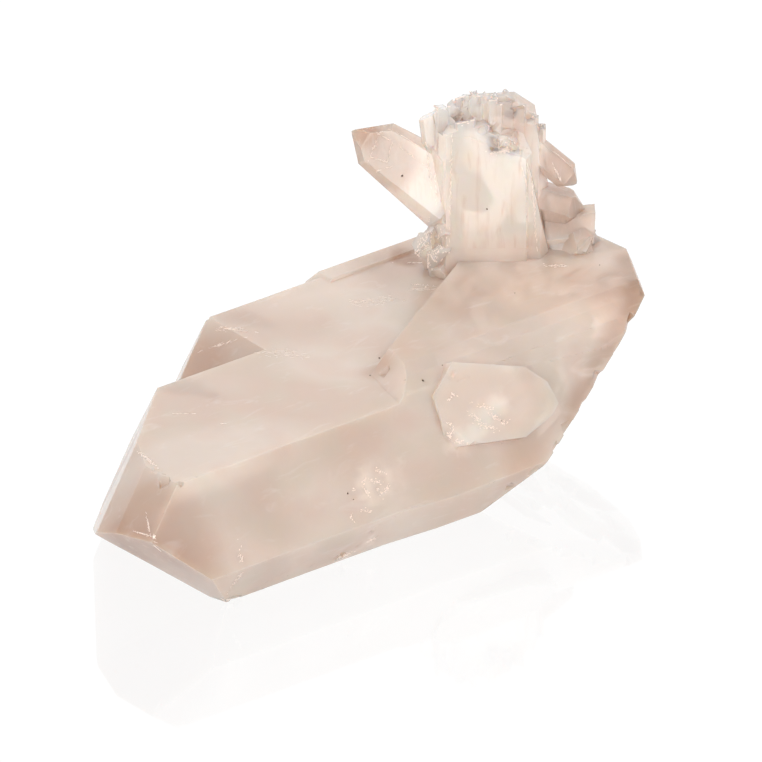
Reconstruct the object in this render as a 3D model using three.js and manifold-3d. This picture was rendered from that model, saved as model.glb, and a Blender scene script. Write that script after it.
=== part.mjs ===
// A quartz cluster: a bed of long parallel prisms, with a small upright crown of crystals.
// Millimetres, +Z up. The long crystals lie along X with their points toward -X, and the
// cluster rests on their bottom prism faces. The crystals have grown together, so the
// cluster is one solid. While it is built, the origin is at the front corner of the main
// crystal's bottom face, and at the end it moves to the bottom middle of the whole.

import * as THREE from "three";
import { ConvexGeometry } from "three/addons/geometries/ConvexGeometry.js";
import { mergeVertices } from "three/addons/utils/BufferGeometryUtils.js";
import Module from "manifold-3d";

const wasm = await Module();
wasm.setup();

// Driving dimensions
const bedHeight = 31.1; // flat tops of the long crystals
const ridgeHeight = 11.2; // front ridge, where the two front prism faces meet
const raisedHeight = 35.6; // flat top of the crystal that stands higher
const endX = 136.5; // broken right end of the bed
const crownFoot = [109, 41]; // X and Y of the middle of the crown's front foot
const crownTurn = -37; // degrees about Z that the crown's front is turned
const crownDepth = 8; // how far the crown's upright crystals reach into the bed
const uncut = 80; // longer than any crystal that planes cut short

// Quartz: a termination face leans 51.8 degrees from the crystal's long axis
const faceLean = THREE.MathUtils.degToRad(51.8);
const leanSide = Math.sin(faceLean);
const leanTip = Math.cos(faceLean);
const sixth = Math.PI / 3;

// A repeatable random number, so that the cluster comes out the same each time
let seed = 11;
function between(low, high) {
  seed = (seed * 1103515245 + 12345) % 2147483648;
  return low + ((high - low) * seed) / 2147483648;
}

// A plane with its solid side behind it, given by its way out and its distance from the
// origin, or by a point that it passes through
function plane(normal, distance) {
  return { normal: new THREE.Vector3(...normal).normalize(), distance };
}
function planeAt(normal, point) {
  const unit = new THREE.Vector3(...normal).normalize();
  return { normal: unit, distance: unit.dot(new THREE.Vector3(...point)) };
}

function meeting(a, b, c) {
  const cross = new THREE.Vector3().crossVectors(b.normal, c.normal);
  const size = a.normal.dot(cross);
  if (Math.abs(size) < 1e-6) return null;
  const point = cross.multiplyScalar(a.distance);
  point.addScaledVector(new THREE.Vector3().crossVectors(c.normal, a.normal), b.distance);
  point.addScaledVector(new THREE.Vector3().crossVectors(a.normal, b.normal), c.distance);
  return point.divideScalar(size);
}

// The convex shape inside a set of planes
function insideOf(planes) {
  const corners = [];
  for (let i = 0; i < planes.length; i += 1) {
    for (let j = i + 1; j < planes.length; j += 1) {
      for (let k = j + 1; k < planes.length; k += 1) {
        const point = meeting(planes[i], planes[j], planes[k]);
        if (!point) continue;
        const inside = planes.every((p) => p.normal.dot(point) <= p.distance + 1e-5);
        const known = corners.some((c) => c.distanceTo(point) < 1e-3);
        if (inside && !known) corners.push(point);
      }
    }
  }
  return new ConvexGeometry(corners);
}

function solidFrom(geometry) {
  const bare = geometry.clone();
  bare.deleteAttribute("normal");
  bare.deleteAttribute("uv");
  const merged = mergeVertices(bare, 1e-4);
  return new wasm.Manifold(
    new wasm.Mesh({
      numProp: 3,
      vertProperties: new Float32Array(merged.attributes.position.array),
      triVerts: new Uint32Array(merged.index.array),
    }),
  );
}

const overrun = 20; // how far the long crystals run past the end before it is broken off

// A long crystal of the bed, with its long axis toward -X. Its six faces come in the order
// top, upper back, lower back, bottom, lower front, upper front. A missing one is null.
function bedCrystal({ sides, tips, extra = [] }) {
  const planes = [plane([1, 0, 0], endX + overrun)];
  for (let k = 0; k < 6; k += 1) {
    const y = Math.sin(k * sixth);
    const z = Math.cos(k * sixth);
    if (sides[k] !== null) planes.push(plane([0, y, z], sides[k]));
    if (tips[k] !== null) planes.push(plane([-leanTip, leanSide * y, leanSide * z], tips[k]));
  }
  return solidFrom(insideOf(planes.concat(extra)));
}

// A crystal anywhere. at is the middle of its foot, axis the way to its point and face the
// way that its first prism face looks. radius holds its six faces' distances from the
// axis at its foot, and length is from the foot to the point. taper is how far its sides
// lean in, in degrees, and cuts are planes that break the point off.
const evenPoint = [0, 0, 0, 0, 0, 0];
function crystal({ at, axis, face, radius, length, taper = 0, offPoint = evenPoint, cuts = [] }) {
  const z = new THREE.Vector3(...axis).normalize();
  const y = new THREE.Vector3().crossVectors(z, new THREE.Vector3(...face)).normalize();
  const x = new THREE.Vector3().crossVectors(y, z);
  const turn = new THREE.Matrix4().makeBasis(x, y, z).setPosition(...at);
  const planes = [plane([0, 0, -1], 0)];
  const inward = Math.tan(THREE.MathUtils.degToRad(taper));
  for (let k = 0; k < 6; k += 1) {
    const u = Math.cos(k * sixth);
    const v = Math.sin(k * sixth);
    planes.push(planeAt([u, v, inward], [u * radius[k], v * radius[k], 0]));
    planes.push(plane([leanSide * u, leanSide * v, leanTip], leanTip * length + offPoint[k]));
  }
  return solidFrom(insideOf(planes.concat(cuts)).applyMatrix4(turn));
}

// A lump with flat faces, turned at random: added, it is rubble, and cut away, a chip
const goldenTurn = 2.4;
function lump(at, size, faces = 12) {
  const planes = [];
  for (let i = 0; i < faces; i += 1) {
    const height = 1 - (2 * i + 1) / faces;
    const ring = Math.sqrt(1 - height * height);
    const turn = i * goldenTurn + between(-0.3, 0.3);
    const way = [ring * Math.cos(turn), ring * Math.sin(turn), height + between(-0.1, 0.1)];
    planes.push(plane(way, size * between(0.8, 1.1)));
  }
  const geometry = insideOf(planes).scale(between(0.7, 1), between(0.8, 1.2), between(0.9, 1.4));
  geometry.rotateX(between(0, 3)).rotateZ(between(0, 3)).translate(...at);
  return solidFrom(geometry);
}

// The bed, from front to back

function mainCrystal() {
  return bedCrystal({
    sides: [bedHeight, 54.9, 41.3, 0, 0, ridgeHeight],
    tips: [30.7, 33.5, 30.5, 0.9, null, null],
    extra: [
      planeAt([-0.672, 0.37, 0.641], [-8.4, 19.8, bedHeight]),
      planeAt([-0.703, -0.199, -0.683], [-0.2, 0, 0]),
      planeAt([-0.3, -0.1, -0.95], [0, 0, 0]),
    ],
  });
}

function secondCrystal() {
  return bedCrystal({
    sides: [bedHeight, 72.8, 58.8, 0, -38, -17],
    tips: [-4.3, 28.7, 20, -23.5, null, null],
  });
}

function thirdCrystal() {
  return bedCrystal({
    sides: [31.7, 74.6, 60.2, 0, -45, -38.8],
    tips: [-24.4, 11, 2, -40, null, null],
  });
}

// A low one behind the others
function backCrystal() {
  return bedCrystal({
    sides: [19.5, 80.2, 69, 0, -50, -40],
    tips: [-24, 26, 18, -43, null, null],
  });
}

// The edge between the raised crystal's top and its front is worn round: planes turned by
// these angles from level, all as far from one line along X
const ridgeRound = 16;
const ridgeCorner = [90, 6.4, raisedHeight];
const ridgeAngles = [15, 30, 45];
function roundedRidge() {
  const [x, y, z] = ridgeCorner;
  const middleY = y + ridgeRound * Math.tan(sixth / 2);
  const middleZ = z - ridgeRound;
  return ridgeAngles.map((degrees) => {
    const lean = THREE.MathUtils.degToRad(degrees);
    const [out, rise] = [-Math.sin(lean), Math.cos(lean)];
    return planeAt([0, out, rise], [x, middleY + ridgeRound * out, middleZ + ridgeRound * rise]);
  });
}

// The wide crystal at the right, which stands a little proud of the others
function raisedCrystal() {
  return bedCrystal({
    sides: [raisedHeight, 60.2, null, 0, 0.9, null],
    tips: [null, null, null, null, null, null],
    extra: [
      planeAt([-0.6, 0.16, 0.78], [55.7, 13.6, bedHeight]),
      planeAt([-0.46, 0.75, 0.475], [78, 33.2, bedHeight]),
      planeAt([-1, -0.6, 0.8], [50, 0, 22.5]),
      planeAt([-0.023, -0.866, 0.5], [54, -6.47, ridgeHeight]),
      planeAt([-0.06, -0.866, -0.5], [44.5, 0, 0]),
      ...roundedRidge(),
    ],
  });
}

// The small crystal that looks out of the front. Its outline is worn, so more planes than
// the six of a prism close it: its broken face, a dent low on the left, and its sides.
function frontCrystal() {
  return crystal({
    at: [80.5, 8.6, 20.3],
    axis: [-0.12, -0.84, 0.52],
    face: [0.36, 0.45, 0.82],
    radius: [8, 15.6, 18.6, 12.4, 11.3, 11.4],
    length: uncut,
    cuts: [
      plane([0.03, 0.02, 1], 12.2),
      plane([-0.5, 0.36, 1], 17.6),
      plane([-0.33, 0.944, 0], 17.2),
      plane([-0.982, -0.187, 0], 8.95),
      plane([-0.774, -0.633, 0], 9.4),
      plane([0.877, -0.48, 0], 9.3),
    ],
  });
}

// The end where the cluster broke off its rock
const endPlanes = [
  planeAt([0.507, -0.191, -0.84], [72.3, -1, 0]),
  planeAt([0.561, -0.547, -0.621], [110, 0.7, 24.9]),
  planeAt([0.98, 0.1, 0.12], [endX, 40, bedHeight]),
  planeAt([0.8, -0.45, 0.4], [134, 19, 33]),
  planeAt([0.6, 0.62, 0.5], [134, 62, bedHeight]),
];

// The crown. Its places and ways are across the front, away from it and up.
const across = new THREE.Vector3(1, 0, 0);
across.applyAxisAngle(new THREE.Vector3(0, 0, 1), THREE.MathUtils.degToRad(crownTurn));
function crownWay(a, b, z) {
  return [across.x * a - across.y * b, across.y * a + across.x * b, z];
}
function crownPlace(a, b, z) {
  const [x, y] = crownWay(a, b, z);
  return [crownFoot[0] + x, crownFoot[1] + y, raisedHeight + z];
}
const up = [0, 0, 1];
const front = crownWay(0, -1, 0);

// The narrow blades at the crown's top, four low ones in front of the others: place across
// and away, height and half width
const bladeRow = [
  [-9, 1.38, 33.2, 1.6],
  [-6.1, 1.54, 35.4, 1.8],
  [-3, 1.46, 34.2, 1.7],
  [0.2, 1.3, 32.2, 1.5],
  [-11, 4.6, 37, 1.5],
  [-8.6, 4, 38, 1.2],
  [-6.4, 4.8, 39.8, 1.7],
  [-3.7, 4.1, 40.6, 1.3],
  [-1.5, 5.1, 39.4, 1.5],
  [0.8, 4.1, 39.6, 1.3],
  [3.2, 6.2, 38.4, 1.7],
  [5.9, 6.4, 36.4, 1.5],
  [8.3, 7.4, 34, 1.8],
  [10.4, 8.8, 30.6, 1.5],
];
const toEye = crownWay(-0.02, -0.89, 0.45);

// The crown's own crystals: two big upright ones, the narrow blades behind them, the one
// that points left, and small ones round the sides and the back
function crown() {
  const upright = { axis: up, face: front, length: uncut };
  const blades = bladeRow.map(([a, b, top, width]) =>
    crystal({
      ...upright,
      at: crownPlace(a, b, -crownDepth),
      radius: [width * 0.8, width * 1.25, width * 1.2, 5, width * 1.2, width * 1.25],
      cuts: [
        planeAt([between(-0.5, 0.3), between(-0.4, 0.4), 1], [0, 0, top + crownDepth]),
        plane([0, 0, 1], top + crownDepth + 0.6),
      ],
    }),
  );
  return blades.concat([
    crystal({
      ...upright,
      at: crownPlace(-1.6, 5, -crownDepth),
      radius: [5, 10.6, 8, 6, 8.4, 10.3],
      cuts: [
        planeAt([0.62, 0.3, 0.72], [5, 4, 36.4]),
        planeAt([0.5, 0.5, 0.72], [5, 6, 36.2]),
        planeAt([0, 0, 1], [0, 0, 39.6]),
      ],
    }),
    crystal({
      ...upright,
      at: crownPlace(-9.6, 5.6, -crownDepth),
      radius: [4.6, 5.2, 5, 5, 3.4, 3.9],
      cuts: [planeAt([0.6, -0.5, 0.72], [4.6, 0, 34.2]), plane([0, 0, 1], 41)],
    }),
    crystal({
      ...upright,
      at: crownPlace(5.4, 6.4, -crownDepth),
      radius: [5.4, 7.6, 6.2, 5, 6, 6],
      cuts: [
        planeAt([0, 0.98, 0.2], [0, 6.4, 15]),
        planeAt([0.3, 0.84, 0.5], [5.4, 3.6, 31]),
        plane([0, 0, 1], 39),
      ],
    }),
    crystal({
      ...upright,
      at: crownPlace(0.5, 11, -crownDepth),
      radius: [5.5, 11.6, 11.8, 5, 8.4, 8.8],
      cuts: [
        plane([0.1, -0.04, 1], 42.4),
        plane([0, 0.59, 0.81], 38),
        plane([0, 0.986, 0.16], 16),
        plane([0.4, -0.3, 0.87], 40.5),
      ],
    }),
    crystal({
      at: crownPlace(-9.3, 6.6, 14.2),
      axis: crownWay(-0.79, 0, 0.61),
      face: toEye,
      radius: [5, 7.4, 7.5, 5, 7.9, 8],
      taper: 6.4,
      length: 28.2,
      offPoint: [-0.5, -0.6, -0.6, 0, 0.6, 0.6],
    }),
    crystal({
      at: crownPlace(-12.6, 7, 17),
      axis: crownWay(-0.12, 0, 1),
      face: front,
      radius: [1.9, 2, 2.1, 1.7, 1.9, 1.8],
      length: 30,
      cuts: [plane([-0.2, -0.4, 1], 15.6)],
    }),
    crystal({
      at: crownPlace(9, 9, 25.2),
      axis: crownWay(0.72, 0, -0.66),
      face: toEye,
      radius: [2.6, 3.3, 2.9, 2.8, 2.6, 2.9],
      length: 14.8,
      offPoint: [0, 0.5, 0, 0, -0.4, 0],
    }),
    crystal({
      at: crownPlace(9, 9.4, 11),
      axis: crownWay(0.86, 0.1, -0.32),
      face: up,
      radius: [4.4, 4.6, 4, 4, 4.2, 4.4],
      length: 14,
      offPoint: [0.6, 0, 0, 0, -0.5, 0],
    }),
    crystal({
      at: crownPlace(12, 9.4, 2.6),
      axis: crownWay(0.95, 0.1, 0.04),
      face: up,
      radius: [4.8, 4.2, 4, 4, 4.2, 4.6],
      length: 24,
      cuts: [plane([-0.1, 0.1, 1], 11.6)],
    }),
    crystal({
      at: crownPlace(-3, 12, 10),
      axis: crownWay(-0.3, 0.75, 0.55),
      face: up,
      radius: [4.2, 4, 4.5, 4, 4.2, 4.4],
      length: 21,
    }),
    crystal({
      at: crownPlace(4, 12, 16),
      axis: crownWay(0.3, 0.6, 0.75),
      face: up,
      radius: [3.4, 3.2, 3.5, 3.2, 3, 3.3],
      length: 17,
    }),
    crystal({
      at: crownPlace(5, 12, 2),
      axis: crownWay(0.25, 0.9, 0.25),
      face: up,
      radius: [3.8, 4, 4, 3.6, 3.8, 4],
      length: 18,
    }),
  ]);
}

// Broken rock sticks to the crown's foot, most of it under the crystal that points left
const leftRubble = { count: 12, across: [-15, -10.5], away: [1, 6], height: [-5, 8], size: [1.4, 2.4] };
const rightRubble = { count: 10, across: [12, 22], away: [5, 12], height: [-4, 4], size: [1.6, 2.8] };
const rubbleFaces = 7;
function rubble() {
  const lumps = [];
  for (const { count, across, away, height, size } of [leftRubble, rightRubble]) {
    for (let i = 0; i < count; i += 1) {
      const place = crownPlace(between(...across), between(...away), between(...height));
      lumps.push(lump(place, between(...size), rubbleFaces));
    }
  }
  return lumps;
}

// Low growth ledges: flat plates that stand a little proud of a big crystal's face
const ledgeRoot = 2;
const lowBackWay = [0, Math.sin(sixth), -Math.cos(sixth)];
const highBackWay = [0, Math.sin(sixth), Math.cos(sixth)];
function ledge(way, at, radius, raise) {
  const unit = new THREE.Vector3(...way).normalize();
  const foot = new THREE.Vector3(...at).addScaledVector(unit, -ledgeRoot);
  const top = plane([0, 0, 1], ledgeRoot + raise);
  return crystal({ at: foot.toArray(), axis: way, face: [1, 0, 0], radius, length: uncut, cuts: [top] });
}
function ledges() {
  return [
    ledge(highBackWay, [98, 71.4, 25.6], [8, 5.6, 5, 9, 5, 5.5], 0.5),
    ledge(lowBackWay, [84, 82.9, 5.6], [9, 4.6, 4, 8, 4.4, 4.2], 0.5),
  ];
}

// Chips along the edges: middle and size
const chips = [
  [-9.4, 4.6, 33, 2.4],
  [-11.6, 9, 31.8, 2.1],
  [-10.4, 13, 32.6, 2],
  [-24.6, 17, 20, 1.8],
  [-23.6, -1.6, 22.6, 1.7],
  [2, -2.6, -0.8, 2.6],
  [31.5, -2.4, 1.2, 2.1],
  [38, -5.8, 6.2, 2],
  [43, -7.2, 9, 1.9],
  [52, -8.6, 12.6, 2],
  [63.4, -9, 12.5, 2.2],
  [57.4, 17.4, 34.2, 2.2],
  [46.6, 67.4, 31.4, 1.6],
  [60, 14.6, 38, 2.4],
  [68, 3.4, 34.6, 2],
  [68, -6.4, 19.4, 2.2],
  [72.5, -8.4, 18, 2.2],
];

// Chips along the right end's lower rim, each a little off the edge on its outer side
const rimWay = [0.53, -0.71, -0.45];
const rimOff = 1.7;
const rimSize = [1.9, 2.9];
const chipFaces = 9;
const rimPlaces = [
  [125.4, 6, 35.4],
  [119.8, 3.8, 32.4],
  [113.4, 1.4, 27.8],
  [106.6, -0.8, 23.8],
  [99.8, -3, 19.8],
  [94.4, -4.8, 16.4],
  [89, -6.4, 13.4],
  [82.6, -6.2, 9],
  [76.7, -4.6, 6.1],
];
function rimChips() {
  return rimPlaces.map((point) => {
    const place = point.map((value, i) => value + rimWay[i] * rimOff);
    return lump(place, between(...rimSize), chipFaces);
  });
}

// The broken end, bitten out of the end planes as a shell-like fracture. Each bite stands
// off the end by a share of its size.
const endBites = { count: 46, y: [9, 74], z: [2, 29], size: [4.5, 9.5], off: [0.8, 1.1] };
const biteDrop = 0.3;
function endSurface(y, z) {
  const reach = endPlanes.map(({ normal, distance }) => (distance - normal.y * y - normal.z * z) / normal.x);
  return Math.min(...reach);
}
function bites() {
  const lumps = [];
  for (let i = 0; i < endBites.count; i += 1) {
    const y = between(...endBites.y);
    const z = between(...endBites.z);
    const size = between(...endBites.size);
    const off = size * between(...endBites.off);
    lumps.push(lump([endSurface(y, z) + off, y, z - size * biteDrop], size));
  }
  return lumps;
}

// The crown's broken top: bites round each blade's end, and along the front's upper edge
const bladeBites = { each: 3, across: [-2, 2], away: [-2, 5], height: [-0.8, 1.2], size: [0.9, 1.6] };
const frontBites = { count: 10, across: [0, 8], away: [0.2, 2.6], height: [27.8, 30.4], size: [0.8, 1.5] };
const crownBiteFaces = 8;
function crownBites() {
  const lumps = [];
  for (const [a, b, top] of bladeRow) {
    for (let i = 0; i < bladeBites.each; i += 1) {
      const away = b + between(...bladeBites.away);
      const place = crownPlace(a + between(...bladeBites.across), away, top + between(...bladeBites.height));
      lumps.push(lump(place, between(...bladeBites.size), crownBiteFaces));
    }
  }
  for (let i = 0; i < frontBites.count; i += 1) {
    const { across, away, height, size } = frontBites;
    const place = crownPlace(between(...across), between(...away), between(...height));
    lumps.push(lump(place, between(...size), crownBiteFaces));
  }
  return lumps;
}

const block = [
  plane([-1, 0, 0], 100),
  plane([1, 0, 0], 300),
  plane([0, -1, 0], 100),
  plane([0, 1, 0], 200),
  plane([0, 0, -1], 50),
  plane([0, 0, 1], 150),
];

let cluster = mainCrystal();
const bed = [secondCrystal(), thirdCrystal(), backCrystal(), raisedCrystal(), frontCrystal()];
for (const part of bed.concat(ledges())) cluster = cluster.add(part);
cluster = cluster.intersect(solidFrom(insideOf(block.concat(endPlanes))));
for (const part of bites()) cluster = cluster.subtract(part);
for (const [x, y, z, size] of chips) cluster = cluster.subtract(lump([x, y, z], size));
for (const part of rimChips()) cluster = cluster.subtract(part);
for (const part of crown()) cluster = cluster.add(part);
for (const part of crownBites()) cluster = cluster.subtract(part);
for (const part of rubble()) cluster = cluster.add(part);

// Crumbs that the cuts set free have fallen off
const bySize = cluster.decompose().sort((a, b) => b.volume() - a.volume());
cluster = bySize[0];

const mesh = cluster.getMesh();
const geometry = new THREE.BufferGeometry();
geometry.setAttribute("position", new THREE.BufferAttribute(mesh.vertProperties, 3));
geometry.setIndex(new THREE.BufferAttribute(mesh.triVerts, 1));
geometry.computeVertexNormals();

// The origin is the middle of the cluster's own box, at the bottom
geometry.computeBoundingBox();
const { min, max } = geometry.boundingBox;
geometry.translate(-(min.x + max.x) / 2, -(min.y + max.y) / 2, -min.z);

const quartz = new THREE.MeshStandardMaterial({ color: 0xdcc7b9, roughness: 0.35, metalness: 0 });
const node = new THREE.Mesh(geometry, quartz);
node.name = "quartz_cluster";

const group = new THREE.Group();
group.add(node);
export default group;
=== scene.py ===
import math
import random

import bmesh
import bpy
from mathutils import Matrix, Vector, noise


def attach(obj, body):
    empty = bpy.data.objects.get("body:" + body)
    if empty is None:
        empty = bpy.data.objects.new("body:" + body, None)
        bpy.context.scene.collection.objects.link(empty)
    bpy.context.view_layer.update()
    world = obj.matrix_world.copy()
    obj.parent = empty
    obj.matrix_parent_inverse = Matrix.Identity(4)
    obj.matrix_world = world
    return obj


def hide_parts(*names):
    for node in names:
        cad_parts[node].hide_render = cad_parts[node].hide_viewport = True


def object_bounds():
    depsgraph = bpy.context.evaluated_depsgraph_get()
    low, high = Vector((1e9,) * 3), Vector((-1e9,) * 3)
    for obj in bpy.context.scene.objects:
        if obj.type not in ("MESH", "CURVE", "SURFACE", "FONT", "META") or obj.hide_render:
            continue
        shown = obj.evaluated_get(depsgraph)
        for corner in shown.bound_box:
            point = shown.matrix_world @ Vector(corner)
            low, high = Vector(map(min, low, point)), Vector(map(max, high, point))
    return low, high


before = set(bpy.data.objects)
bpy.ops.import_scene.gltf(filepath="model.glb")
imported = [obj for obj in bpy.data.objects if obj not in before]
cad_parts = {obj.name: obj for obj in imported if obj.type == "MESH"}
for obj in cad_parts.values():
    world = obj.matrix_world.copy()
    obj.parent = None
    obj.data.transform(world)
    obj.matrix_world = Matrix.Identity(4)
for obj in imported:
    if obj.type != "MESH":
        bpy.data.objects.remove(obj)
cadLow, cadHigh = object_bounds()
print("frame loaded")


def linear(hexColour):
    values = [int(hexColour[i : i + 2], 16) / 255 for i in (0, 2, 4)]
    return tuple(v / 12.92 if v <= 0.04045 else ((v + 0.055) / 1.055) ** 2.4 for v in values) + (1.0,)


def shadeOf(hexColour):
    return Vector(linear(hexColour)[:3])


def clamped(value):
    return min(1, max(0, value))


def addNode(tree, kind, settings=None, links=None):
    node = tree.nodes.new(kind)
    for key, value in (settings or {}).items():
        if isinstance(key, int) or key in node.inputs:
            node.inputs[key].default_value = value
        else:
            setattr(node, key, value)
    for key, socket in (links or {}).items():
        tree.links.new(socket, node.inputs[key])
    return node


def newMaterial(name):
    material = bpy.data.materials.new(name)
    material.use_nodes = True
    material.node_tree.nodes.clear()
    return material


def selectOnly(thing):
    bpy.ops.object.select_all(action="DESELECT")
    thing.select_set(True)
    bpy.context.view_layer.objects.active = thing


def metres(millimetres):
    return Vector(millimetres) / 1000


# The camera stands where the photograph was taken from, far off with a long lens.
cameraSetup = {
    "lens": 1000,  # mm
    "sensor": 36,  # mm
    "farthest": 20,  # m
    "framePixels": 762,
    "pixelsPerMetre": 4400,
    "lookAt": (12.1, -7.7, 21.3),  # mm
    "round": 51.6,  # degrees from the crystals' tips towards the front
    "above": 27,  # degrees
}


def makeCamera():
    data = bpy.data.cameras.new("camera")
    data.lens = cameraSetup["lens"]
    data.sensor_width = cameraSetup["sensor"]
    data.clip_end = cameraSetup["farthest"]
    camera = bpy.data.objects.new("camera", data)
    bpy.context.collection.objects.link(camera)
    focalPixels = cameraSetup["framePixels"] * data.lens / data.sensor_width
    around, above = math.radians(cameraSetup["round"]), math.radians(cameraSetup["above"])
    level = Vector((-math.cos(around), -math.sin(around), 0))
    back = level * math.cos(above) + Vector((0, 0, math.sin(above)))
    camera.location = metres(cameraSetup["lookAt"]) + back * focalPixels / cameraSetup["pixelsPerMetre"]
    camera.rotation_euler = back.to_track_quat("Z", "Y").to_euler()
    bpy.context.scene.camera = camera


makeCamera()
print("camera placed")


# Hazy quartz: natural growth faces, smooth and glassy over a body full of tiny veils, so the
# eye gets soft pale beige depth. Its colour is painted on the mesh and then crossed by fine
# wisps. Tints are places, in millimetres, where it grew milkier or browner, and a few where
# shade, a shadow or light is painted into the colour. Their reach is how near and how far from
# their middle, or from the line through them, they fade.
hazyQuartz = {
    "body": "dbc7b9",
    "cloud": "e5d8cd",
    "cloudSize": 20,  # mm across one cloud
    "cloudContrast": 1.6,
    "mottles": ("dec5b8", "d6cdbd"),  # a little pinker and a little greener
    "mottleSize": 7,  # mm
    "mottleShift": (40, 0, 0),  # keeps them from following the clouds
    "mottleContrast": 2,
    "mottleShare": 0.4,
    "wanderSeed": 7,  # so that the edges of places wander the same way each time
    "edgeWander": 2.5,  # mm that the edge of a tinted place wanders
    "edgeWanderSize": 9,  # mm from one bend of that edge to the next
    "crownFoot": 38,  # mm above the table, where the upright crystals start
    "crownBlend": 1,  # mm
    "wisp": "fbf3ec",
    "wispSize": 6,  # mm along the crystals, and a third of that across them
    "wispLying": (0.35, 1.0, 1.0),  # how the wisps are drawn out along the lying crystals
    "wispUpright": (1.8, 1.8, 0.3),  # and up the crown, where they are finer
    "wispShare": 0.28,
    "streak": "dfc3b3",  # between the crown's wisps
    "streakShare": 0.45,
    "frost": "ffeee2",
    "frostWander": 3,  # mm that the edge of a frosted place wanders
    "frostWanderSize": 2.2,  # mm
    "ior": 1.544,
    "roughness": 0.22,
    "roughnessSwing": 0.16,
    "transmission": 0.5,
    "scatterDepth": 0.006,  # m
    "scatterColours": (1.0, 0.78, 0.62),  # how deep red, green and blue go
    "absorption": "dbc3a6",
    "density": 8.0,
    "growthLines": 1.1,  # mm between the growth lines that cross the long faces
    "growthLineRelief": 0.04,  # beside the ripples' own
    "ripple": 2.6,  # mm across the shallow ripples on every face
    "wispRelief": 0.5,  # beside the ripples' own
    "bumpStrength": 0.4,
    "bumpHeight": 0.1,  # mm
    "tonesAndPaintedLight": [
        # The crown: its body, its top with painted light over the shade between its broken blades, its right
        # shoulder, and a painted highlight over the shade in its dent.
        {"at": (52, 6, 56), "reach": (14, 27), "colour": "fff1e8", "share": 0.95},
        {"at": (49, 12, 77), "reach": (4, 12), "colour": "fff4ec", "share": 0.9},
        {"at": (59, 1, 70), "reach": (3, 7), "colour": "dac4b7", "share": 0.7},
        {"at": (54, 1, 64), "reach": (2, 5), "colour": "fff8f2", "share": 0.95},
        # The crystal that points left, its tip, and the small crystals right of the crown.
        {"at": (32, 19, 61), "reach": (7, 11), "colour": "d3c4b8", "share": 0.9},
        {"at": (31.5, 23, 65), "reach": (2, 5), "colour": "bf9f8a", "share": 0.85},
        {"at": (69.5, -3, 57), "reach": (4, 9), "colour": "c9b2a4", "share": 0.85},
        {"at": (70, -1, 45), "reach": (4, 9), "colour": "c6ae9f", "share": 0.85},
        # The crystal that looks out of the front, and the bright places on it.
        {"at": (18, -38, 26), "reach": (10, 15), "colour": "ecdcd0", "share": 0.95},
        {
            "at": (19, -41, 26), "through": [(11.5, -42.5, 22.5)],
            "reach": (1, 3.5), "colour": "fff2e8", "share": 0.8,
        },
        {"at": (8, -41.5, 22.5), "reach": (1, 3), "colour": "fff2e8", "share": 0.8},
        # The left ends of the main crystal and the second one, and the worn edge between them.
        {"at": (-80, -36, 17), "reach": (3, 24), "colour": "ccb2a1", "share": 0.75},
        {"at": (-77, -22, 21), "reach": (3, 13), "colour": "c9ad98", "share": 0.65},
        {"at": (-72, -30, 27), "reach": (3, 8), "colour": "c9ad98", "share": 0.55},
        {"at": (-54, 9, 6), "through": [(-55, 2, 22)], "reach": (3, 9), "colour": "bd9d88", "share": 0.85},
        {"at": (-59, -24, 37), "reach": (8, 12), "colour": "e3d6cb", "share": 0.8},
        {"at": (-78, -37, 17), "reach": (3, 11), "colour": "b8927b", "share": 0.6},
        # Painted shade on the facet that faces down under the main crystal's tip, which also browns the front
        # beside it.
        {"at": (-68, -39.5, 8), "reach": (6, 16), "colour": "b8927b", "share": 0.35},
        {
            "at": (-80.5, -26, 20), "through": [(-72.5, -27, 12)],
            "reach": (1, 8), "colour": "b5917a", "share": 0.75,
        },
        # The third crystal's end, the back's top, and the dark brown patch behind the rubble.
        {"at": (-20, 20, 24), "reach": (3, 13), "colour": "c7a38c", "share": 0.6},
        {"at": (15, 28, 32), "reach": (6, 22), "colour": "f1e1d5", "share": 0.7},
        {"at": (43.5, 23, 31), "reach": (2.5, 5), "colour": "bb9882", "share": 0.9},
        # The wide crystal: its top, and along its rim and round its corner a brown band, also painted shade
        # of the narrow side face seen edge-on.
        {"at": (55, -18, 36), "reach": (8, 22), "colour": "f3ddcc", "share": 0.7},
        {"at": (66, -23, 36), "reach": (4, 12), "colour": "cbad9a", "share": 0.6},
        {
            "at": (71, -29, 35), "through": [(64.5, -32, 33.5), (52, -39, 27), (38.5, -44, 18)],
            "reach": (0.5, 4.5), "colour": "b08c76", "share": 0.5,
        },
        {
            "at": (76, -17, 35.5), "through": [(73.5, -25, 35), (68, -31, 34.5)],
            "reach": (1, 6), "colour": "a98a72", "share": 0.65,
        },
        # Painted shadow below the crystal that looks out of the front, and the wide crystal's left corner.
        {"at": (23, -42, 12), "reach": (3, 11), "colour": "c7a38a", "share": 0.5},
        {"at": (3, -20, 33), "reach": (1, 6), "colour": "c39f8a", "share": 0.7},
    ],
    "frosted": [
        {"at": (-16.5, -41.5, 18), "reach": (2, 6), "share": 0.9},
        {"at": (-13.5, -41, 18), "reach": (1, 8), "share": 0.4},
        {"at": (16, -41.5, 24.5), "reach": (2, 5), "share": 0.9},
        {"at": (8, -41.5, 21), "reach": (1.5, 4), "share": 0.9},
        {"at": (-24, -40, 1), "reach": (1.5, 3.5), "share": 0.9},
        {"at": (-18, -41, 3.5), "reach": (1.5, 3.5), "share": 0.9},
        {"at": (41, 10, 39), "reach": (4, 8), "share": 0.9},
        {"at": (46, 9, 76), "reach": (3, 9), "share": 0.5},
        {"at": (53, 0, 63), "reach": (1, 3.5), "share": 1.0},
    ],
}


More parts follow.
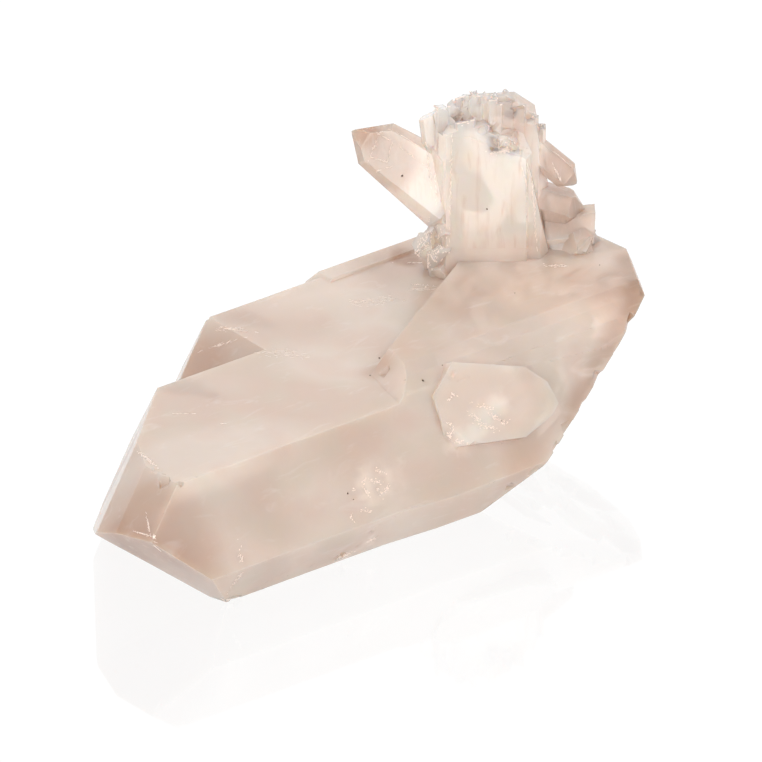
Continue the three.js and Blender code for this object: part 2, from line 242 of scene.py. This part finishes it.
def nearness(spot, point):
    near, far = spot["reach"]
    start = Vector(spot["at"])
    away = (point - start).length
    for corner in spot.get("through", []):
        way = Vector(corner) - start
        along = clamped((point - start).dot(way) / way.length_squared)
        away = min(away, (point - start - way * along).length)
        start = Vector(corner)
    share = clamped((far - away) / (far - near))
    return spot["share"] * share * share * (3 - 2 * share)


def paintGrowth(mesh):
    look = hazyQuartz
    body, cloud = shadeOf(look["body"]), shadeOf(look["cloud"])
    pinker, greener = [shadeOf(colour) for colour in look["mottles"]]
    tonesAndPaintedLight = [(tint, shadeOf(tint["colour"])) for tint in look["tonesAndPaintedLight"]]
    noise.seed_set(look["wanderSeed"])
    mesh.attributes.new("growth", "FLOAT_COLOR", "POINT")
    for vertex, painted in zip(mesh.vertices, mesh.attributes["growth"].data):
        point = vertex.co * 1000
        clouds = noise.noise(point / look["cloudSize"]) * look["cloudContrast"]
        colour = body.lerp(cloud, clamped(0.5 + clouds))
        mottle = noise.noise(point / look["mottleSize"] + Vector(look["mottleShift"]))
        mottleShare = clamped(abs(mottle) * look["mottleContrast"]) * look["mottleShare"]
        colour = colour.lerp(pinker if mottle > 0 else greener, mottleShare)
        swayed = point + noise.noise_vector(point / look["edgeWanderSize"]) * look["edgeWander"]
        for tint, shade in tonesAndPaintedLight:
            colour = colour.lerp(shade, nearness(tint, swayed))
        ragged = point + noise.noise_vector(point / look["frostWanderSize"]) * look["frostWander"]
        frosted = max(nearness(spot, ragged) for spot in look["frosted"])
        painted.color = (*colour, frosted)


def noiseScale(size):
    return 1000 / size / 2  # a noise texture has about two blobs in a unit


def makeQuartz():
    look = hazyQuartz
    material = newMaterial("hazyQuartz")
    tree = material.node_tree
    place = addNode(tree, "ShaderNodeTexCoord").outputs["Object"]
    growth = addNode(tree, "ShaderNodeAttribute", {"attribute_name": "growth"})

    height = addNode(tree, "ShaderNodeSeparateXYZ", None, {"Vector": place}).outputs["Z"]
    onCrown = addNode(tree, "ShaderNodeMapRange", {
        "From Min": look["crownFoot"] / 1000,
        "From Max": (look["crownFoot"] + look["crownBlend"]) / 1000,
    }, {"Value": height}).outputs["Result"]
    lying = addNode(tree, "ShaderNodeMapping", {"Scale": look["wispLying"]}, {"Vector": place})
    upright = addNode(tree, "ShaderNodeMapping", {"Scale": look["wispUpright"]}, {"Vector": place})
    grain = addNode(tree, "ShaderNodeMix", {"data_type": "VECTOR"}, {
        0: onCrown, 4: lying.outputs["Vector"], 5: upright.outputs["Vector"],
    }).outputs[1]

    wisps = addNode(tree, "ShaderNodeTexNoise", {
        "Scale": 3 * noiseScale(look["wispSize"]), "Detail": 3.0, "Roughness": 0.6, "Distortion": 1.0,
    }, {"Vector": grain}).outputs["Fac"]
    wispShare = addNode(tree, "ShaderNodeMapRange", {
        "From Min": 0.58, "From Max": 0.78, "To Max": look["wispShare"],
    }, {"Value": wisps}).outputs["Result"]
    wispy = addNode(tree, "ShaderNodeMix", {"data_type": "RGBA", 7: linear(look["wisp"])}, {
        0: wispShare, 6: growth.outputs["Color"],
    }).outputs[2]
    gaps = addNode(tree, "ShaderNodeMapRange", {
        "From Min": 0.5, "From Max": 0.3, "To Max": look["streakShare"],
    }, {"Value": wisps}).outputs["Result"]
    streakShare = addNode(tree, "ShaderNodeMath", {"operation": "MULTIPLY"}, {0: gaps, 1: onCrown})
    streaked = addNode(tree, "ShaderNodeMix", {"data_type": "RGBA", 7: linear(look["streak"])}, {
        0: streakShare.outputs["Value"], 6: wispy,
    }).outputs[2]

    ripples = addNode(tree, "ShaderNodeTexNoise", {
        "Scale": noiseScale(look["ripple"]), "Detail": 3.0,
    }, {"Vector": place}).outputs["Fac"]
    cover = addNode(tree, "ShaderNodeMapRange", {"From Min": 0.3, "From Max": 0.6}, {"Value": ripples})
    frostShare = addNode(tree, "ShaderNodeMath", {"operation": "MULTIPLY"}, {
        0: cover.outputs["Result"], 1: growth.outputs["Alpha"],
    })
    frosted = addNode(tree, "ShaderNodeMix", {"data_type": "RGBA", 7: linear(look["frost"])}, {
        0: frostShare.outputs["Value"], 6: streaked,
    }).outputs[2]

    lines = addNode(tree, "ShaderNodeTexWave", {
        "bands_direction": "X",
        "Scale": math.tau * 1000 / look["growthLines"] / 20,  # the texture turns 20 radians in a unit
        "Distortion": 4.0,
        "Detail": 1.0,
        "Detail Scale": 0.8,
    }, {"Vector": place}).outputs["Fac"]
    faceRelief = addNode(tree, "ShaderNodeMath", {
        "operation": "MULTIPLY_ADD", 1: look["growthLineRelief"],
    }, {0: lines, 2: ripples}).outputs["Value"]
    relief = addNode(tree, "ShaderNodeMath", {
        "operation": "MULTIPLY_ADD", 1: look["wispRelief"],
    }, {0: wisps, 2: faceRelief}).outputs["Value"]
    bump = addNode(tree, "ShaderNodeBump", {
        "Strength": look["bumpStrength"], "Distance": look["bumpHeight"] / 1000,
    }, {"Height": relief}).outputs["Normal"]
    matt = addNode(tree, "ShaderNodeMath", {
        "operation": "MULTIPLY_ADD",
        1: look["roughnessSwing"],
        2: look["roughness"] - look["roughnessSwing"] / 2,
    }, {0: wisps}).outputs["Value"]

    surface = addNode(tree, "ShaderNodeBsdfPrincipled", {
        "IOR": look["ior"],
        "Transmission Weight": look["transmission"],
        "Subsurface Weight": 1.0,
        "Subsurface Radius": look["scatterColours"],
        "Subsurface Scale": look["scatterDepth"],
    }, {"Base Color": frosted, "Roughness": matt, "Normal": bump})
    inside = addNode(tree, "ShaderNodeVolumeAbsorption", {
        "Color": linear(look["absorption"]), "Density": look["density"],
    })
    addNode(tree, "ShaderNodeOutputMaterial", None, {
        "Surface": surface.outputs["BSDF"], "Volume": inside.outputs["Volume"],
    })
    return material


# The crystals, from the solid: finely divided, most of all along the edges, which are worn
# round unevenly, with a slow swell on the faces and rough skin where the cluster is broken.
clusterShape = {
    "weld": 0.01,  # mm
    "longestEdge": 2.4,  # mm, on the smooth faces
    "nearEdge": 0.9,  # mm, along the crystals' edges
    "roughEdge": 1.1,  # mm, where it is broken
    "mostRounds": 9,  # of halving the long edges
    "sharpAngle": 13,
    "flatAngle": 1,  # between faces so flat that their triangles may be laid out evenly
    "smoothAngle": 12,
    "edgeWear": 0.5,
    "wearSteps": 1,
    "wearPatch": 6.25,  # mm across one patch of more or less wear
    "wearMiddle": 0.55,
    "wearSpread": 0.9,
    "wearFullEdge": 0.6,  # mm, where a corner's shortest edge is long enough for full wear
    "crispPlace": (18, -38, 26),  # the front crystal, whose edges aren't worn
    "crispReach": 17,  # mm
    "crispAbove": 37,  # mm above the table, where the crown's edges aren't worn either
    "swell": 0.1,  # mm
    "swellSize": 9,  # mm across
    "brokenStart": 20,  # mm to the right, at the table
    "brokenLean": 1.9,  # mm further to the right for each mm up
    "brokenHeights": (0.5, 30),  # mm
    "brokenWidth": 88,  # mm
    "roughHeight": 0.5,  # mm
    "roughSize": 2.2,  # mm across
}


def isBroken(point):
    x, y, z = point * 1000
    low, high = clusterShape["brokenHeights"]
    atEnd = x > clusterShape["brokenStart"] + z * clusterShape["brokenLean"]
    return atEnd and low < z < high and abs(y) < clusterShape["brokenWidth"] / 2


def isCrisp(point):
    away = (point - metres(clusterShape["crispPlace"])).length
    return point.z > clusterShape["crispAbove"] / 1000 or away < clusterShape["crispReach"] / 1000


def isSharp(edge):
    return edge.calc_face_angle(0) > math.radians(clusterShape["sharpAngle"])


def besideSharp(edge):
    return any(isSharp(near) for corner in edge.verts for near in corner.link_edges)


def divide(cluster, longest, wanted):
    for _round in range(clusterShape["mostRounds"]):
        mesh = bmesh.from_edit_mesh(cluster.data)
        bpy.ops.mesh.select_all(action="DESELECT")
        long = [edge for edge in mesh.edges if edge.calc_length() > longest / 1000 and wanted(edge)]
        if not long:
            break
        for edge in long:
            edge.select_set(True)
        bpy.ops.mesh.subdivide(number_cuts=1)
    print("divided to", len(bmesh.from_edit_mesh(cluster.data).faces), "faces")


def addDisplacement(cluster, name, pattern, size, height):
    texture = bpy.data.textures.new(name, pattern)
    texture.noise_scale = size / 1000
    displace = cluster.modifiers.new(name, "DISPLACE")
    displace.texture = texture
    displace.mid_level = 1  # inwards only, so the cluster never outgrows its solid
    displace.strength = height / 1000
    return displace


def makeCluster():
    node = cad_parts["quartz_cluster"]
    cluster = bpy.data.objects.new("quartzCluster", node.data.copy())
    bpy.context.collection.objects.link(cluster)
    selectOnly(cluster)
    bpy.ops.object.mode_set(mode="EDIT")
    bpy.context.tool_settings.mesh_select_mode = (False, True, False)
    bpy.ops.mesh.select_all(action="SELECT")
    bpy.ops.mesh.remove_doubles(threshold=clusterShape["weld"] / 1000)
    divide(cluster, clusterShape["longestEdge"], lambda edge: True)
    divide(cluster, clusterShape["nearEdge"], besideSharp)
    divide(cluster, clusterShape["roughEdge"], lambda edge: isBroken(edge.verts[0].co))
    bpy.ops.mesh.select_all(action="SELECT")
    bpy.ops.mesh.quads_convert_to_tris()
    bpy.ops.mesh.beautify_fill(angle_limit=math.radians(clusterShape["flatAngle"]))
    bpy.ops.object.mode_set(mode="OBJECT")

    worn = cluster.vertex_groups.new(name="wornEdges")
    broken = cluster.vertex_groups.new(name="brokenSkin")
    mesh = bmesh.new()
    mesh.from_mesh(cluster.data)
    for vertex in mesh.verts:
        if not isCrisp(vertex.co) and any(isSharp(edge) for edge in vertex.link_edges):
            shortest = min(edge.calc_length() for edge in vertex.link_edges) * 1000
            patches = noise.noise(vertex.co * (1000 / clusterShape["wearPatch"]))
            wear = clamped(clusterShape["wearMiddle"] + clusterShape["wearSpread"] * patches)
            worn.add([vertex.index], wear * clamped(shortest / clusterShape["wearFullEdge"]), "REPLACE")
        if isBroken(vertex.co):
            broken.add([vertex.index], 1, "REPLACE")
    mesh.free()

    smooth = cluster.modifiers.new("wornEdges", "SMOOTH")
    smooth.factor = clusterShape["edgeWear"]
    smooth.iterations = clusterShape["wearSteps"]
    smooth.vertex_group = "wornEdges"
    bpy.ops.object.modifier_apply(modifier=smooth.name)
    swell = addDisplacement(cluster, "swell", "CLOUDS", clusterShape["swellSize"], clusterShape["swell"])
    bpy.ops.object.modifier_apply(modifier=swell.name)
    roughSize, roughHeight = clusterShape["roughSize"], clusterShape["roughHeight"]
    skin = addDisplacement(cluster, "brokenSkin", "VORONOI", roughSize, roughHeight)
    skin.vertex_group = "brokenSkin"
    bpy.ops.object.modifier_apply(modifier=skin.name)
    for vertex in cluster.data.vertices:
        vertex.co.z = max(vertex.co.z, 0)
    bpy.ops.object.shade_smooth_by_angle(angle=math.radians(clusterShape["smoothAngle"]))

    paintGrowth(cluster.data)
    cluster.data.materials.clear()
    cluster.data.materials.append(makeQuartz())
    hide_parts("quartz_cluster")
    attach(cluster, "root")
    print("cluster", len(cluster.data.polygons), "faces")
    return cluster


cluster = makeCluster()


# Veils: the mouths of healed cracks full of tiny air films, which stay white in the quartz.
# Each face has the way out of it and its marks. A mark has its middle, the angle at which it
# climbs across the face, how far it reaches along and across, how many films it has, and which
# of the sizes they are. The marks are read in this order, so the chances stay the same.
veils = {
    "thickness": 0.05,  # mm, as all sizes and places here
    "sink": 0.01,  # how deep the middle of a film lies
    "tilt": 0.05,
    "seed": 3,
    "colour": "e9dacf",
    "roughness": 0.4,
    "sizes": {  # how long and how wide a film is
        "dot": ((0.4, 1), (0.14, 0.35)),
        "short": ((0.6, 1.6), (0.06, 0.15)),
        "broad": ((0.5, 1.6), (0.06, 0.2)),
        "fine": ((0.5, 1.5), (0.04, 0.11)),
        "thread": ((0.6, 2), (0.04, 0.13)),
        "long": ((0.8, 2.4), (0.04, 0.13)),
    },
    "faces": [
        {"out": (-0.6, 0, 0.8), "marks": [  # the main crystal's left tip
            {"at": (-77.5, -39, 23), "angle": 180, "reach": (0.7, 0.4), "films": 20, "size": "dot"},
            {"at": (-76, -35, 24), "angle": 145, "reach": (3.4, 0.15), "films": 42, "size": "short"},
            {"at": (-78, -35.5, 22.5), "angle": -170, "reach": (3.2, 0.15), "films": 36, "size": "short"},
        ]},
        {"out": (-0.7, -0.2, -0.68), "marks": [  # under that tip
            {"at": (-76.5, -39, 20.5), "angle": -85, "reach": (2.4, 0.15), "films": 31, "size": "short"},
        ]},
        {"out": (0, 0, 1), "marks": [  # the long top faces
            {"at": (-44.5, -8, 31), "angle": -40, "reach": (3, 0.12), "films": 17, "size": "short"},
            {"at": (-41, -17, 31), "angle": -40, "reach": (1, 0.12), "films": 7, "size": "short"},
            {"at": (-9, 2, 31), "angle": -50, "reach": (6, 2.2), "films": 64, "size": "thread"},
        ]},
        {"out": (-0.62, 0, 0.79), "marks": [  # the left end of the third crystal
            {"at": (-13.5, 17.5, 29), "angle": 45, "reach": (4.5, 0.5), "films": 36, "size": "thread"},
        ]},
        {"out": (0, 0, 1), "marks": [  # the top faces at the crown's foot
            {"at": (-10, 18.5, 31), "angle": -55, "reach": (6, 0.9), "films": 48, "size": "thread"},
            {"at": (24, 10, 31), "angle": -25, "reach": (8, 2.4), "films": 62, "size": "thread"},
            {"at": (36, 7.5, 31), "angle": -30, "reach": (3.4, 1.4), "films": 36, "size": "thread"},
        ]},
        {"out": (-0.5, -0.8, 0.3), "marks": [  # the crown's left edge
            {"at": (43.5, 12, 54), "angle": 90, "reach": (4.5, 0.2), "films": 22, "size": "short"},
        ]},
        {"out": (-0.5, -0.8, 0.45), "marks": [  # the crystal that points left, first its window
            {"at": (35.5, 20, 65), "angle": -30, "reach": (2.1, 0.16), "films": 22, "size": "fine"},
            {"at": (35.5, 18.5, 62), "angle": -105, "reach": (2.6, 0.16), "films": 22, "size": "fine"},
            {"at": (33, 19.5, 60.5), "angle": 160, "reach": (2.4, 0.16), "films": 22, "size": "fine"},
            {"at": (33, 21, 63.5), "angle": 65, "reach": (2.9, 0.16), "films": 22, "size": "fine"},
            {"at": (33, 18, 58.5), "angle": 15, "reach": (2.6, 0.16), "films": 11, "size": "fine"},
            {"at": (40.5, 17, 64.5), "angle": -30, "reach": (5.7, 0.2), "films": 42, "size": "short"},
            {"at": (39.5, 15.5, 61), "angle": -40, "reach": (4.4, 0.14), "films": 14, "size": "fine"},
            {"at": (42, 12, 58), "angle": -85, "reach": (4.3, 0.3), "films": 48, "size": "broad"},
        ]},
        {"out": (-0.6, -0.8, 0), "marks": [  # the crown's front
            {"at": (59.5, -4, 50), "angle": -86, "reach": (11.3, 0.2), "films": 84, "size": "long"},
            {"at": (58, -3, 56), "angle": -75, "reach": (5.8, 0.18), "films": 36, "size": "long"},
            {"at": (44.5, 7.5, 58), "angle": -91, "reach": (17.4, 0.16), "films": 64, "size": "long"},
        ]},
        {"out": (-0.5, -0.8, 0.45), "marks": [  # the small crystal right of the crown
            {"at": (67.5, -2.5, 55), "angle": -65, "reach": (2.7, 0.22), "films": 22, "size": "short"},
            {"at": (69.5, -2, 58), "angle": -25, "reach": (3.5, 0.16), "films": 17, "size": "fine"},
        ]},
        {"out": (0, 0, 1), "marks": [  # behind the rubble
            {"at": (43.5, 19, 31), "angle": -40, "reach": (3.7, 0.25), "films": 34, "size": "broad"},
        ]},
    ],
}

# Frost: crushed quartz in the dents and along the chipped edges, which scatters light to white.
frost = {
    "thickness": 0.08,
    "sink": 0.03,
    "tilt": 0.2,
    "seed": 5,
    "colour": "e2d2c7",
    "roughness": 0.5,
    "sizes": {"crumb": ((0.3, 0.9), (0.12, 0.38))},
    "faces": [
        {"out": (0, -0.87, 0.5), "marks": [  # the main crystal's upper front face
            {"at": (-14.5, -40.5, 20), "angle": -35, "reach": (1.7, 0.6), "films": 15},
            {"at": (-16.5, -41.5, 18.5), "angle": -25, "reach": (2.2, 0.6), "films": 27},
            {"at": (-14, -42.5, 16), "angle": -150, "reach": (2, 0.6), "films": 20},
            {"at": (-16.5, -42.5, 17), "angle": -60, "reach": (0.4, 0.6), "films": 7},
            {"at": (-19, -42.5, 16.5), "angle": -35, "reach": (0.5, 0.6), "films": 7},
            {"at": (-16, -43, 16), "angle": -35, "reach": (0.5, 0.6), "films": 7},
            {"at": (-21, -44, 13.5), "angle": -20, "reach": (2.1, 0.6), "films": 17},
            {"at": (-25.5, -44.5, 13.5), "angle": -95, "reach": (1, 0.6), "films": 10},
            {"at": (-22.5, -41.5, 18.5), "angle": -30, "reach": (0.6, 0.6), "films": 5},
            {"at": (-19.5, -42.5, 17), "angle": -75, "reach": (2.4, 0.6), "films": 15},
            {"at": (-19, -41, 19.5), "angle": -135, "reach": (1.4, 0.6), "films": 8},
        ]},
        {"out": (-0.13, -0.82, 0.55), "marks": [  # the crystal that looks out of the front
            {"at": (16, -40, 26.5), "angle": -25, "reach": (2.9, 0.7), "films": 27},
            {"at": (13.5, -41, 24.5), "angle": -50, "reach": (2.6, 0.7), "films": 37},
            {"at": (18, -42, 24), "angle": -40, "reach": (2.2, 0.7), "films": 34},
            {"at": (15, -42.5, 22.5), "angle": -25, "reach": (3.1, 0.7), "films": 37},
            {"at": (10, -37, 30), "angle": -30, "reach": (1, 0.7), "films": 10},
            {"at": (8.5, -37, 29.5), "angle": -60, "reach": (0.4, 0.7), "films": 5},
            {"at": (5.5, -41, 22.5), "angle": -65, "reach": (1.3, 0.7), "films": 24},
            {"at": (7, -42.5, 21), "angle": -20, "reach": (1.9, 0.7), "films": 27},
            {"at": (6.5, -40, 24), "angle": -90, "reach": (2.1, 0.7), "films": 17},
            {"at": (19.5, -43.5, 22.5), "angle": 5, "reach": (1.5, 0.7), "films": 12},
        ]},
        {"out": (0, 0, 1), "marks": [  # along the worn edge of the left end
            {"at": (-65, -21, 31), "angle": -100, "reach": (4, 0.5), "films": 102},
        ]},
        {"out": (0, -1, 0), "marks": [  # the front edge of the main crystal's left end
            {"at": (-57.5, -42.5, 10), "angle": -100, "reach": (5, 0.7), "films": 75},
        ]},
        {"out": (-0.3, -0.7, -0.6), "marks": [  # the foot of that edge
            {"at": (-57, -39.5, 1), "angle": -15, "reach": (2.2, 0.6), "films": 85},
        ]},
        {"out": (0, -0.87, -0.5), "marks": [  # chips along the foot
            {"at": (-24, -40, 1.5), "angle": 5, "reach": (2.2, 0.6), "films": 68},
            {"at": (-17.5, -41.5, 4), "angle": 5, "reach": (1.6, 0.6), "films": 51},
        ]},
        {"out": (-0.6, -0.7, 0.3), "marks": [  # the rubble
            {"at": (39.5, 10, 38.5), "angle": 90, "reach": (7, 4), "films": 360},
        ]},
        {"out": (-0.5, -0.5, 0.7), "marks": [  # the crown's dent
            {"at": (53.5, 1, 64), "angle": 5, "reach": (2.8, 1.6), "films": 210},
        ]},
        {"out": (-0.5, -0.6, 0.6), "marks": [  # the crown's broken top, and its foot
            {"at": (45, 7, 78), "angle": 0, "reach": (14, 7), "films": 442},
            {"at": (62, -9, 36), "angle": 0, "reach": (3, 1.5), "films": 51},
        ]},
    ],
}


def insideBox(point):
    return Vector([max(low, min(high, value)) for low, value, high in zip(cadLow, point, cadHigh)])


def surfaceAt(point):
    _found, place, normal, _face = cluster.closest_point_on_mesh(point)
    return place, normal


def waysInFace(out, angle):
    out = Vector(out).normalized()
    level = Vector((-out.y, out.x, 0)).normalized() if out.z < 1 else Vector((1, 0, 0))
    along = Matrix.Rotation(math.radians(angle), 3, out) @ level
    return along, out.cross(along)


# How far films stray, as shares: from the middle of their mark, from its direction, and from a
# smooth round shape.
filmChance = {"spread": 0.45, "turn": 0.3, "ragged": (0.7, 1.1)}


def filmPoints(corners, films, mark, along, across, chance):
    reach = [chance.gauss(0, filmChance["spread"]) * far for far in mark["reach"]]
    place, normal = surfaceAt(metres(mark["at"]) + (along * reach[0] + across * reach[1]) / 1000)
    middle = place - normal * films["sink"] / 1000
    lean = Vector([chance.gauss(0, films["tilt"]) for _axis in range(3)])
    z = (normal + lean).normalized()
    x = (along + Vector([chance.gauss(0, filmChance["turn"]) for _axis in range(3)])).normalized()
    x = (x - z * x.dot(z)).normalized()
    y = z.cross(x)
    size = films["sizes"][mark.get("size", "crumb")]
    long, wide = [chance.uniform(*span) / 2000 for span in size]
    turn = Matrix((x * long, y * wide, z * films["thickness"] / 1000)).transposed()
    return [insideBox(middle + turn @ (corner * chance.uniform(*filmChance["ragged"]))) for corner in corners]


def scatterFilms(name, films, material):
    chance = random.Random(films["seed"])
    bpy.ops.object.select_all(action="DESELECT")
    bpy.ops.mesh.primitive_ico_sphere_add(subdivisions=1, radius=1)
    pattern = bpy.context.active_object
    corners = [vertex.co.copy() for vertex in pattern.data.vertices]
    sides = [tuple(face.vertices) for face in pattern.data.polygons]
    bpy.ops.object.delete()
    points, triangles = [], []
    for face in films["faces"]:
        for mark in face["marks"]:
            along, across = waysInFace(face["out"], mark["angle"])
            for _film in range(mark["films"]):
                first = len(points)
                points += filmPoints(corners, films, mark, along, across, chance)
                triangles += [tuple(first + i for i in side) for side in sides]
    data = bpy.data.meshes.new(name)
    data.from_pydata(points, [], triangles)
    piece = bpy.data.objects.new(name, data)
    bpy.context.collection.objects.link(piece)
    piece.data.materials.append(material)
    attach(piece, "root")
    print(name, len(triangles), "faces")


# Broken and foreign minerals: fine powdery grain, matt and slightly uneven, so the eye gets a
# chalky white from air films and crushed quartz, and dull dark brown from iron mineral.
powder = {
    "grainScale": 700,  # blobs about 0.7 mm across, as coarse as they need to be to show
    "darkest": 0.86,
}


def powderMaterial(name, colour, roughness):
    material = newMaterial(name)
    tree = material.node_tree
    place = addNode(tree, "ShaderNodeTexCoord").outputs["Object"]
    grain = addNode(tree, "ShaderNodeTexNoise", {
        "Scale": powder["grainScale"], "Detail": 2.0,
    }, {"Vector": place}).outputs["Fac"]
    shade = addNode(tree, "ShaderNodeMapRange", {
        "To Min": powder["darkest"], "To Max": 1.0,
    }, {"Value": grain})
    tinted = addNode(tree, "ShaderNodeMix", {
        "data_type": "RGBA", "blend_type": "MULTIPLY", 0: 1.0, 6: linear(colour),
    }, {7: shade.outputs["Result"]}).outputs[2]
    surface = addNode(tree, "ShaderNodeBsdfPrincipled", {"Roughness": roughness}, {"Base Color": tinted})
    addNode(tree, "ShaderNodeOutputMaterial", None, {"Surface": surface.outputs["BSDF"]})
    return material


scatterFilms("healedVeils", veils, powderMaterial("airFilms", veils["colour"], veils["roughness"]))
scatterFilms("frost", frost, powderMaterial("crushedQuartz", frost["colour"], frost["roughness"]))


# Specks: tiny dark grains of iron mineral caught in the surface, each a place and a size in
# millimetres. Their sides are stretched by chance and they are turned by chance.
specks = {
    "seed": 9,
    "colour": "4a3a30",
    "roughness": 0.6,
    "stretch": ((0.7, 1.1), (0.6, 1), (0.4, 0.7)),
    "grains": [
        ((7, -13.5, 31), 0.35), ((0, -19, 31), 0.3), ((5, -32, 33.5), 0.4), ((-24.5, -42.5, 18.5), 0.3),
        ((-23.5, -42.5, 16.5), 0.25), ((37, 16, 56.5), 0.4), ((51, 2.5, 49), 0.35), ((44, 11, 36), 0.3),
        ((42, 12.5, 38.5), 0.25), ((41.5, 13, 35.5), 0.3), ((19, -42, 22.5), 0.2), ((46, -14, 35.5), 0.2),
        ((70, -15, 35.5), 0.2), ((12, -30, 34), 0.2),
    ],
}


def makeSpecks():
    chance = random.Random(specks["seed"])
    grains = []
    bpy.ops.object.select_all(action="DESELECT")
    for at, size in specks["grains"]:
        place, _normal = surfaceAt(metres(at))
        bpy.ops.mesh.primitive_ico_sphere_add(subdivisions=1, radius=size / 1000, location=place)
        grain = bpy.context.active_object
        grain.scale = [chance.uniform(*span) for span in specks["stretch"]]
        grain.rotation_euler = [chance.uniform(0, 3) for _axis in range(3)]
        grains.append(grain)
    for grain in grains:
        grain.select_set(True)
    bpy.context.view_layer.objects.active = grains[0]
    bpy.ops.object.join()
    piece = bpy.context.active_object
    bpy.ops.object.transform_apply(location=True, rotation=True, scale=True)
    piece.name = "ironSpecks"
    piece.data.materials.clear()
    piece.data.materials.append(powderMaterial("ironSpecks", specks["colour"], specks["roughness"]))
    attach(piece, "root")
    print("specks", len(piece.data.polygons), "faces")


makeSpecks()


# The studio: an even white sky, two soft lamps and a table that glows white, like a light
# table, and gives back a faint reflection.
studio = {
    "bounces": 18,  # light turns back many times inside a crystal before it leaves
    "softBounces": 8,
    "skyColour": "ffffff",
    "skyStrength": 1.22,
    "lamps": [
        {"name": "topLight", "power": 1.6, "size": 0.9, "place": (-350, 250, 1100)},  # W, m and mm
        {"name": "frontLight", "power": 7.0, "size": 0.9, "place": (-750, -900, 260)},
    ],
    "tableSize": 40,  # m
    "tableGlow": 0.875,
    "tableShare": 0.03,  # of the light on it that the table gives back
    "tableRoughness": 0.05,
}


def makeStudio():
    bpy.ops.object.select_all(action="DESELECT")
    bpy.ops.mesh.primitive_plane_add(size=studio["tableSize"])
    table = bpy.context.active_object
    table.name = "table"
    material = newMaterial("whiteLightTable")
    tree = material.node_tree
    surface = addNode(tree, "ShaderNodeBsdfPrincipled", {
        "Base Color": (studio["tableShare"],) * 3 + (1,),
        "Roughness": studio["tableRoughness"],
        "Emission Color": (1, 1, 1, 1),
        "Emission Strength": studio["tableGlow"],
    })
    addNode(tree, "ShaderNodeOutputMaterial", None, {"Surface": surface.outputs["BSDF"]})
    table.data.materials.append(material)

    scene = bpy.context.scene
    scene.world = bpy.data.worlds.new("studio")
    scene.world.use_nodes = True
    sky = scene.world.node_tree.nodes["Background"]
    sky.inputs["Color"].default_value = linear(studio["skyColour"])
    sky.inputs["Strength"].default_value = studio["skyStrength"]

    for setting in studio["lamps"]:
        data = bpy.data.lights.new(setting["name"], "AREA")
        data.energy = setting["power"]
        data.size = setting["size"]
        lamp = bpy.data.objects.new(setting["name"], data)
        bpy.context.collection.objects.link(lamp)
        lamp.location = metres(setting["place"])
        lamp.rotation_euler = lamp.location.to_track_quat("Z", "Y").to_euler()

    scene.view_settings.view_transform = "Standard"
    scene.cycles.max_bounces = studio["bounces"]
    scene.cycles.glossy_bounces = studio["bounces"]
    scene.cycles.transmission_bounces = studio["bounces"]
    scene.cycles.diffuse_bounces = studio["softBounces"]


makeStudio()
print("studio lit")
